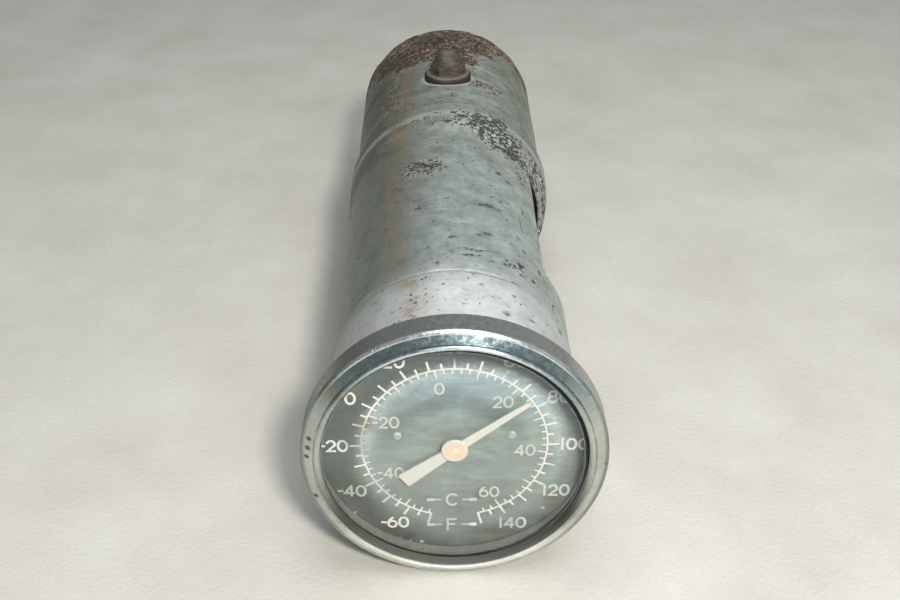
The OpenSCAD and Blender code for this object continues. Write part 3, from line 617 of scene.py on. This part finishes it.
# Dents: half lengths and depth, all in mm
DENTS = ((-5.1, 89.4, 4.0, 3.2, 0.55), (8.0, 93.5, 9.0, 3.5, 0.22), (49, 154.6, 3.4, 1.6, 0.7),
         (16, 156.4, 4.6, 1.7, 0.5), (-52, 26.5, 6.0, 2.0, 0.15), (100, 92, 17.0, 13.0, 2.1))


def oval(degrees, along, half_round, half_along, slant, turn_mm, y):
    """How far a point of the tube is from an oval's middle, in the oval's own half sizes."""
    u, v = turn_mm - math.radians(degrees) * TUBE_R, y - along
    c, s = math.cos(math.radians(slant)), math.sin(math.radians(slant))
    return math.hypot((u * c + v * s) / half_round, (v * c - u * s) / half_along)


def soft(value, start, end):
    """A smooth step from 0 at start to 1 at end, which may be the lower one."""
    share = min(1.0, max(0.0, (value - start) / (end - start)))
    return share * share * (3 - 2 * share)


def cloud(x, y, z, size, depth=4):
    """Smooth noise about 0, with blotches of the given size in mm."""
    return noise.fractal(Vector((x / size, y / size, z / size)), 1.0, 2.0, depth)


# a mark further along the tube than this counts as this far, in mm
FAR_MARK = 9.0


def weather(obj):
    """Writes on each vertex how the tube has aged there: the distance to the nearest
    mark, and how thick the pits, the rust and the ochre stain are."""
    fields = {"marks": [], "pitting": [], "rust": [], "ochre": []}
    for vertex in obj.data.vertices:
        x, y, z = (c * 1000 for c in vertex.co)
        turn = math.atan2(x, z)
        u = turn * TUBE_R
        near = [oval(*spot, 0, u, y) for spot in SPOTS if abs(spot[1] - y) < FAR_MARK]
        fields["marks"].append(min(near + [FAR_MARK]))
        warp = cloud(x, y, z, 9.0) * 0.5
        thick = max(weight * soft(oval(*patch, u, y) + warp, 1.35, 0.6) for *patch, weight in PITTED)
        fields["pitting"].append(thick)
        # the rust's front edge runs back on both sides of the top
        front = 149.0 + 18.0 * soft(u, -16.0, -31.0) + 7.0 * soft(u, -6.0, 4.0) + 14.0 * soft(u, 12.0, 26.0)
        deep = 0.95 * soft(y + 11.0 * cloud(x, y, z, 11.0), front - 3.0, front + 6.0)
        deep *= 1.0 - 0.45 * soft(u, 6.0, 24.0)
        brown = max(weight * soft(oval(*patch, u, y) + warp, 1.4, 0.5) for *patch, weight in BROWNED)
        fields["rust"].append(max(deep, brown))
        middle = -8.5 - 5.4 * soft(y, 8.0, 45.0) + 3.0 * cloud(x, y, z, 26.0)
        fields["ochre"].append(soft(abs(u - middle), 6.0, 0.5))
    for name, values in fields.items():
        field = obj.data.attributes.new(name, "FLOAT", "POINT")
        field.data.foreach_set("value", np.array(values, np.float32))


def sleeve(name, outside, inside, opening=None, ragged=0.0, around=232):
    """A piece of tube in mesh code: rows of (distance down the tube, radius) for its outside
    and its inside, joined at both ends. opening gives, for a point, how far it is outside the
    outline of a hole in the wall, and in which direction. ragged is how far, in mm, the open
    end is eaten away. around is the number of faces round the tube."""
    rows = outside + inside[::-1]
    end = max(y for y, r in rows)
    place = np.zeros((len(rows), around, 3))
    for i, (y, r) in enumerate(rows):
        for j in range(around):
            turn = 2 * math.pi * (j + 0.5) / around
            x, z = math.sin(turn), math.cos(turn)
            u = math.atan2(x, z) * TUBE_R
            sunk = 0.10 * cloud(x * TUBE_R, y, z * TUBE_R, 21.0, 2)
            for degrees, along, wide, long, depth in DENTS:
                if abs(along - y) < 2.2 * long:
                    sunk += depth * soft(oval(degrees, along, wide, long, 0, u, y), 1.6, 0.0)
            for spot in SPOTS:
                if abs(spot[1] - y) < 2.5:
                    sunk += 0.12 * soft(oval(*spot, 0, u, y), 1.1, 0.4)
            # the collar is turned, and has stayed truer than the rolled tubes
            if y < 25.0:
                sunk *= 0.3
            eaten = ragged * max(0.0, 0.3 + cloud(x * 30, 0, z * 30, 8.0)) * soft(y, end - 5.0, end)
            place[i, j] = (x * (r - sunk), y - eaten, z * (r - sunk))
    kept = np.ones((len(rows), around), bool)
    if opening:
        far = np.zeros((len(rows), around))
        for i in range(len(rows)):
            for j in range(around):
                middle = (place[i, j] + place[(i + 1) % len(rows), (j + 1) % around]) / 2
                far[i, j] = opening(middle)[0]
        half = len(outside)
        gone = far[:half - 1] < 0
        kept[:half - 1] = ~gone
        kept[half:2 * half - 1] = ~gone[::-1]

    def number(i, j):
        return (i % len(rows)) * around + j % around

    quads = []
    for i in range(len(rows)):
        for j in range(around):
            if kept[i, j]:
                quads.append((number(i, j), number(i, j + 1), number(i + 1, j + 1), number(i + 1, j)))
    walls = len(quads)
    if opening:
        def twin(i):
            return len(rows) - 1 - i

        rim = set()
        for i in range(half - 1):
            for j in range(around):
                if kept[i, j]:
                    continue
                for a, b, beside in (
                    ((i, j), (i + 1, j), (i, j - 1)), ((i, j + 1), (i + 1, j + 1), (i, j + 1)),
                    ((i, j), (i, j + 1), (i - 1, j)), ((i + 1, j), (i + 1, j + 1), (i + 1, j)),
                ):
                    if kept[beside[0], beside[1] % around]:
                        inner_b, inner_a = number(twin(b[0]), b[1]), number(twin(a[0]), a[1])
                        quads.append((number(*a), number(*b), inner_b, inner_a))
                        rim.update(((a[0], a[1] % around), (b[0], b[1] % around)))
        for i, j in rim:
            for row in (i, twin(i)):
                away, direction = opening(place[row, j])
                place[row, j] += direction * -away
    mesh = bpy.data.meshes.new(name)
    mesh.from_pydata([tuple(p * MM) for p in place.reshape(-1, 3)], [], quads)
    bore = mesh.attributes.new("bore", "FLOAT", "POINT")
    lining = [0.0] * len(outside) + [1.0] * len(inside)
    bore.data.foreach_set("value", np.repeat(lining, around).astype(np.float32))
    shape = bmesh.new()
    shape.from_mesh(mesh)
    bmesh.ops.delete(shape, geom=[v for v in shape.verts if not v.link_faces], context="VERTS")
    bmesh.ops.recalc_face_normals(shape, faces=shape.faces)
    shape.to_mesh(mesh)
    shape.free()
    for face in mesh.polygons[walls:]:
        face.material_index = 1
    mesh.shade_smooth()
    mesh.set_sharp_from_angle(angle=math.radians(38))
    piece = bpy.data.objects.new(name, mesh)
    bpy.context.scene.collection.objects.link(piece)
    weather(piece)
    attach(piece, "root")
    return piece


# rows of faces along the tube are this far apart, in mm
PITCH = 0.8


def spaced(points, pitch):
    """The same line of (distance, radius) points, with more between them so that none are
    further apart than pitch."""
    line = [points[0]]
    for (y0, r0), (y1, r1) in zip(points, points[1:]):
        steps = max(1, math.ceil(math.hypot(y1 - y0, r1 - r0) / pitch - 1e-6))
        line += [(y0 + (y1 - y0) * k / steps, r0 + (r1 - r0) * k / steps) for k in range(1, steps + 1)]
    return line


def bent(y0, r0, y1, r1, steps=10):
    """A smooth step of a tube's radius."""
    rise = [(1 - math.cos(math.pi * k / steps)) / 2 for k in range(steps + 1)]
    return [(y0 + (y1 - y0) * k / steps, r0 + (r1 - r0) * share) for k, share in enumerate(rise)]


# The skin of the tube: lacquer, with the stains, the rust and the pits over it. Fine
# noise frays the edges of what the vertices say, so that no patch ends in a clean line.
def lacquered_steel(label, pit_share):
    """Aluminium lacquer on steel: a fine pale metal grain that hides the steel's brightness
    but keeps a broad soft shine. pit_share is how much of the sound skin has pits."""
    material, tree = new_material(label)
    place, axis, _ = millimetres(tree)
    along_mm = axis["Y"]
    round_mm = calc(tree, "MULTIPLY", calc(tree, "ARCTAN2", axis["X"], axis["Z"]), TUBE_R)
    map_mm = add(tree, "CombineXYZ", {}, X=round_mm, Y=along_mm)
    outward = calc(tree, "ABSOLUTE", axis["X"])
    patchy = cloudy(tree, place, 0.22, 6.0, 0.7)
    fine = cloudy(tree, place, 1.7, 5.0, 0.75)
    pitting, rust, marks, ochre, bore = (
        add(tree, "Attribute", {"attribute_name": name}).outputs["Fac"]
        for name in ("pitting", "rust", "marks", "ochre", "bore"))

    # the lacquer: brightest on the front collar, greener and duller towards the back
    back = smooth(tree, along_mm, 15.0, 33.0)
    mottle = ramp(tree, patchy, 0.33, 0.67)
    front_tone_and_shade = blend(tree, mottle, "#d3d7d7", "#f0f1f0")
    mid_tone = blend(tree, mottle, "#8d9691", "#b7bfbb")
    rear_tone = blend(tree, mottle, "#6f7469", "#a6aa9d")
    # painted shade: on the collar the lacquer is darker down the sides
    front_tone_and_shade = times(tree, front_tone_and_shade, smooth(tree, outward, 6.0, 26.0, 1.0, 0.66))
    tone = blend(tree, back, front_tone_and_shade, mid_tone)
    tone = blend(tree, ramp(tree, along_mm, 50.0, 170.0), tone, rear_tone)
    # wiped round the tube in bands about 1 mm wide, and drawn along it in streaks 1 mm wide
    wipes, draws = (
        cloudy(tree, add(tree, "Mapping", {}, Vector=map_mm, Scale=stretch), 1.0, 4.0, 0.6)
        for stretch in ((0.08, 0.8, 1.0), (0.9, 0.04, 1.0)))
    streak = calc(tree, "MULTIPLY_ADD", draws, 0.4, wipes)
    tone = times(tree, tone, ramp(tree, streak, 0.45, 0.95, 0.93, 1.07))
    # painted shade in an olive tone: the left side is darker, and towards the back both sides are
    left_shade = smooth(tree, axis["X"], 3.0, -19.0, 0.0, 0.62)
    left_shade = calc(tree, "MULTIPLY", left_shade, ramp(tree, back, 0.0, 1.0, 0.35, 1.0))
    beside = smooth(tree, outward, 9.0, 24.0, 0.0, 0.32)
    painted_side_shade = calc(tree, "MULTIPLY_ADD", beside, smooth(tree, along_mm, 85.0, 115.0), left_shade)
    tone = blend(tree, painted_side_shade, tone, "#57594b")
    # painted light on the bell: painted highlights where it swells and on the rear tube behind it, and a
    # painted shadow in the corner behind its edge
    for middle, half, share, hue in ((107.0, 2.6, 0.45, "#d3d6d1"), (115.8, 2.0, 0.55, "#4a4b41"),
                                     (124.0, 2.5, 0.15, "#d3d6d1")):
        off = calc(tree, "MULTIPLY_ADD", patchy, half, off_line(tree, along_mm, middle))
        tone = blend(tree, smooth(tree, off, half * 0.7, half * 1.5, share, 0.0), tone, hue)
    # a pale ring round the stud's washer
    ring_off = off_line(tree, far_from(tree, map_mm, (0.0, STUD_Y, 0.0)), WASHER_R + 0.5)
    tone = blend(tree, smooth(tree, ring_off, 0.2, 0.9, 0.8, 0.0), tone, "#cfcdc3")
    # the ochre stain is broken up by the patches
    broken = smooth(tree, patchy, 0.38, 0.64, 0.0, 0.62)
    tone = blend(tree, calc(tree, "MULTIPLY", ochre, broken), tone, "#8f7c58")
    # flakes of lifted lacquer among the pits catch the light
    flake = smooth(tree, fine, 0.53, 0.58, 0.0, 0.9)
    tone = blend(tree, calc(tree, "MULTIPLY", flake, pitting), tone, "#e9ebe8")
    # small knocks have left dull flecks all over, about 1 mm across
    knocks = cloudy(tree, place, 0.75, 3.0, 0.6)
    tone = blend(tree, smooth(tree, knocks, 0.61, 0.68, 0.0, 0.45), tone, "#494941")
    # rust, with its edge frayed by the patches
    frayed = calc(tree, "MULTIPLY_ADD", patchy, 1.1, rust)
    rusty = calc(tree, "MULTIPLY", smooth(tree, frayed, 0.62, 1.25), ramp(tree, rust, 0.0, 0.4))
    # crust of rust in lumps about 2 mm across, nearly black between them
    lumps = smooth(tree, cloudy(tree, place, 0.55, 6.0, 0.78), 0.42, 0.60)
    rust_tone = blend(tree, lumps, "#2b2421", "#84705f")
    rust_tone = blend(tree, smooth(tree, fine, 0.54, 0.64, 0.0, 0.6), rust_tone, "#bda990")
    # dark brown and pinkish patches, 10 mm across and more
    depth = smooth(tree, cloudy(tree, place, 0.09, 3.0, 0.6), 0.42, 0.60, 0.62, 1.12)
    tone = blend(tree, rusty, tone, times(tree, rust_tone, depth))

    # pits, in two sizes; the share of cells that hold one rises with the pitting
    half_rust = calc(tree, "MULTIPLY", rust, 0.55)
    bar = ramp(tree, calc(tree, "MAXIMUM", pitting, half_rust), 0.0, 1.0, 1.0 - pit_share, 0.05)
    pits = []
    for pitch, small, large in ((2.0, 0.14, 0.32), (1.1, 0.26, 0.52)):
        cells = add(tree, "TexVoronoi", {}, Vector=place, Scale=1.0 / pitch, Randomness=1.0)
        chance = add(tree, "SeparateXYZ", {}, Vector=cells.outputs["Color"]).outputs["X"]
        swollen = calc(tree, "MULTIPLY_ADD", pitting, -0.27, cells.outputs["Distance"])
        uneven = calc(tree, "MULTIPLY_ADD", patchy, 0.8, swollen)
        worn = calc(tree, "MULTIPLY_ADD", fine, 0.9, uneven)
        dot = smooth(tree, worn, small + 0.75, large + 0.73, 1.0, 0.0)
        pits.append(calc(tree, "MULTIPLY", calc(tree, "GREATER_THAN", chance, bar), dot))
    chipped = calc(tree, "MULTIPLY_ADD", fine, 2.6, marks)
    holes = calc(tree, "MAXIMUM", largest(tree, pits), smooth(tree, chipped, 1.5, 2.1, 1.0, 0.0))
    # thin scratches and creases: degrees, distance, half lengths round and along, slant
    nearest = None
    for degrees, along, wide, long, slant in (
        (12, 23.8, 4.5, 0.22, 0), (20, 23.9, 3.5, 0.28, 4), (28.5, 24.8, 4.2, 0.24, 9),
        (17, 34.8, 4.6, 0.18, 12), (-49, 28.3, 5.5, 0.30, 0), (38, 55, 0.25, 6.0, 4),
        (62, 148, 0.35, 9.0, 8), (-5, 101.8, 7.5, 0.3, 0),
    ):
        at = add(tree, "Mapping", {"vector_type": "TEXTURE"}, Vector=map_mm, Scale=(wide, long, 1),
                 Location=(math.radians(degrees) * TUBE_R, along, 0), Rotation=(0, 0, math.radians(slant)))
        far = length(tree, at)
        nearest = far if nearest is None else calc(tree, "MINIMUM", nearest, far)
    dark = calc(tree, "MAXIMUM", holes, smooth(tree, nearest, 0.5, 1.0, 0.75, 0.0))
    hole_tone = blend(tree, patchy, "#1f1d1b", "#3b342c")
    tone = blend(tree, calc(tree, "MULTIPLY", dark, 0.94), tone, hole_tone)
    # the bore was never lacquered: dark mill scale, brown in places
    scale_tone = blend(tree, patchy, "#3d3a35", "#7a6b59")
    tone = blend(tree, calc(tree, "MULTIPLY", bore, 0.85), tone, scale_tone)

    # rust and pits are matt and don't shine as metal; pits are sunk, and rust is rough
    spoiled = calc(tree, "MAXIMUM", rusty, dark)
    dull = calc(tree, "MULTIPLY_ADD", spoiled, 0.35, ramp(tree, fine, 0.3, 0.7, 0.38, 0.50))
    crusty = ramp(tree, calc(tree, "MAXIMUM", pitting, rust), 0.0, 1.0, 0.10, 1.0)
    height = calc(tree, "SUBTRACT", calc(tree, "MULTIPLY", fine, crusty), holes)
    coat(tree, Base_Color=tone, Metallic=ramp(tree, spoiled, 0.0, 0.8, 0.45, 0.0), Roughness=dull,
         Normal=relief(tree, height, 0.3, 0.8))
    return material


silver_lacquer = lacquered_steel("aluminium lacquer on steel", 0.03)
rusty_lacquer = lacquered_steel("rusting aluminium lacquer on steel", 0.08)

# The front collar: a turned end cap whose web carries the gauge. The front tube is
# pushed on its spigot, and the seam between them shows.
collar_outside = [(-0.5, 27.0), (24.5, 27.0), (24.7, 26.85), (24.7, 25.9), (36.4, 25.9), (36.7, 25.6)]
collar_inside = [(-0.5, 25.9), (8.3, 25.9), (8.3, 6.45), (9.8, 6.45), (9.8, 24.9), (36.7, 24.9)]
collar = sleeve("front_collar_lacquered", spaced(collar_outside, PITCH), collar_inside)
finish(collar, silver_lacquer)
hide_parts("front_collar")

# The front tube has a window sawn and filed in its side, whose edge is bright and
# burred, and its rear end is belled out over the rear tube.
WINDOW_MIDDLE, WINDOW_HALF, WINDOW_CORNER = (66.95, 0.0), (26.75, 16.38), 3.0


def window_edge(point):
    """A point's distance outside the window's outline, and the direction away from it."""
    x, y, z = point
    if x < 0:
        return 9.0, np.zeros(3)
    burr = 0.5 * cloud(0, y, z, 1.8) * soft(y, 80, 92)
    q = np.array([y - WINDOW_MIDDLE[0], z - WINDOW_MIDDLE[1]])
    w = np.abs(q) - (np.array(WINDOW_HALF) - WINDOW_CORNER)
    if w.max() > 0:
        pull = np.maximum(w, 0)
        far = float(np.linalg.norm(pull))
        out = pull / far
    else:
        far = float(w.max())
        out = np.array([1.0, 0.0]) if w[0] > w[1] else np.array([0.0, 1.0])
    out = out * np.sign(q)
    return far - WINDOW_CORNER + burr, np.array([0.0, out[0], out[1]])


bell = bent(96.2, 26.9, 103.2, 27.95)[1:] + [(114.3, 27.95), (114.6, 27.8), (114.7, 27.5)]
front_outside = spaced([(24.7, 26.75), (24.95, 26.9), (40.2, 26.9), (93.7, 26.9), (96.2, 26.9)] + bell, PITCH)
front_inside = [(y, 25.9 + 1.05 * soft(y, 96.2, 103.2)) for y, r in front_outside]
front = sleeve("front_tube_lacquered", front_outside, front_inside, opening=window_edge)
finish(front, silver_lacquer)
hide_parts("front_tube")

# The window's sawn edge: bare steel left bright by the file, with grey streaks. It is
# the front tube's second material, which sleeve has given to the faces of that edge.
filed_steel, tree = new_material("filed bare steel")
place, _, _ = millimetres(tree)
file_marks = cloudy(tree, place, 1.3, 4.0, 0.7)
bare_tone = blend(tree, ramp(tree, file_marks, 0.4, 0.6), "#77736a", "#f0f0ec")
coat(tree, Base_Color=bare_tone, Metallic=0.5, Roughness=0.45, Normal=relief(tree, file_marks, 0.1, 0.6))
front.data.materials.append(filed_steel)

# The rear tube is pushed into the bell. It has a shallow rolled groove, and its
# open end is rusted thin and ragged.
groove = bent(145.1, 26.9, 146.6, 26.5, 4)[1:] + bent(146.6, 26.5, 148.1, 26.9, 4)[1:]
rear_outside = spaced([(103.5, 26.9), (145.1, 26.9)] + groove + [(175.8, 26.9), (176.1, 26.7)], PITCH)
rear_inside = [(y, min(r, 26.9) - 1.0) for y, r in rear_outside]
rear = sleeve("rear_tube_rusted", rear_outside, rear_inside, ragged=1.5)
finish(rear, rusty_lacquer)
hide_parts("rear_tube")

# The stop stud: a cupped washer and a domed nut of plain steel, rusted brown
# all over, with painted highlights and shade on top of the rust.
brown_steel, tree = new_material("steel rusted brown")
place, axis, _ = millimetres(tree)
blotches = ramp(tree, cloudy(tree, place, 0.35, 5.0, 0.7), 0.35, 0.65)
crust = cloudy(tree, place, 2.2, 5.0, 0.75)
tone = blend(tree, blotches, "#38312c", "#5d554d")
tone = blend(tree, smooth(tree, crust, 0.52, 0.7, 0.0, 0.7), tone, "#82766a")
# painted light: a painted highlight on the washer's slope, painted shade that makes its rim nearly black, and
# a painted grey highlight on the dome
level = add(tree, "CombineXYZ", {}, X=axis["X"], Y=axis["Y"], Z=0.0)
off_axis = far_from(tree, level, (0.0, STUD_Y, 0.0))
slope_highlight = smooth(tree, off_line(tree, off_axis, 5.75), 0.25, 0.5, 0.55, 0.0)
tone = blend(tree, slope_highlight, tone, "#8c8178")
tone = blend(tree, smooth(tree, off_axis, 6.2, 6.5, 0.0, 0.75), tone, "#1d1815")
tone = blend(tree, smooth(tree, off_axis, 2.6, 1.2, 0.0, 0.45), tone, "#8f8987")
coat(tree, Base_Color=tone, Metallic=0.35, Roughness=0.55, Normal=relief(tree, crust, 0.3, 0.7))
finish(nodes["cup_washer"], brown_steel)
finish(nodes["acorn_nut"], brown_steel)
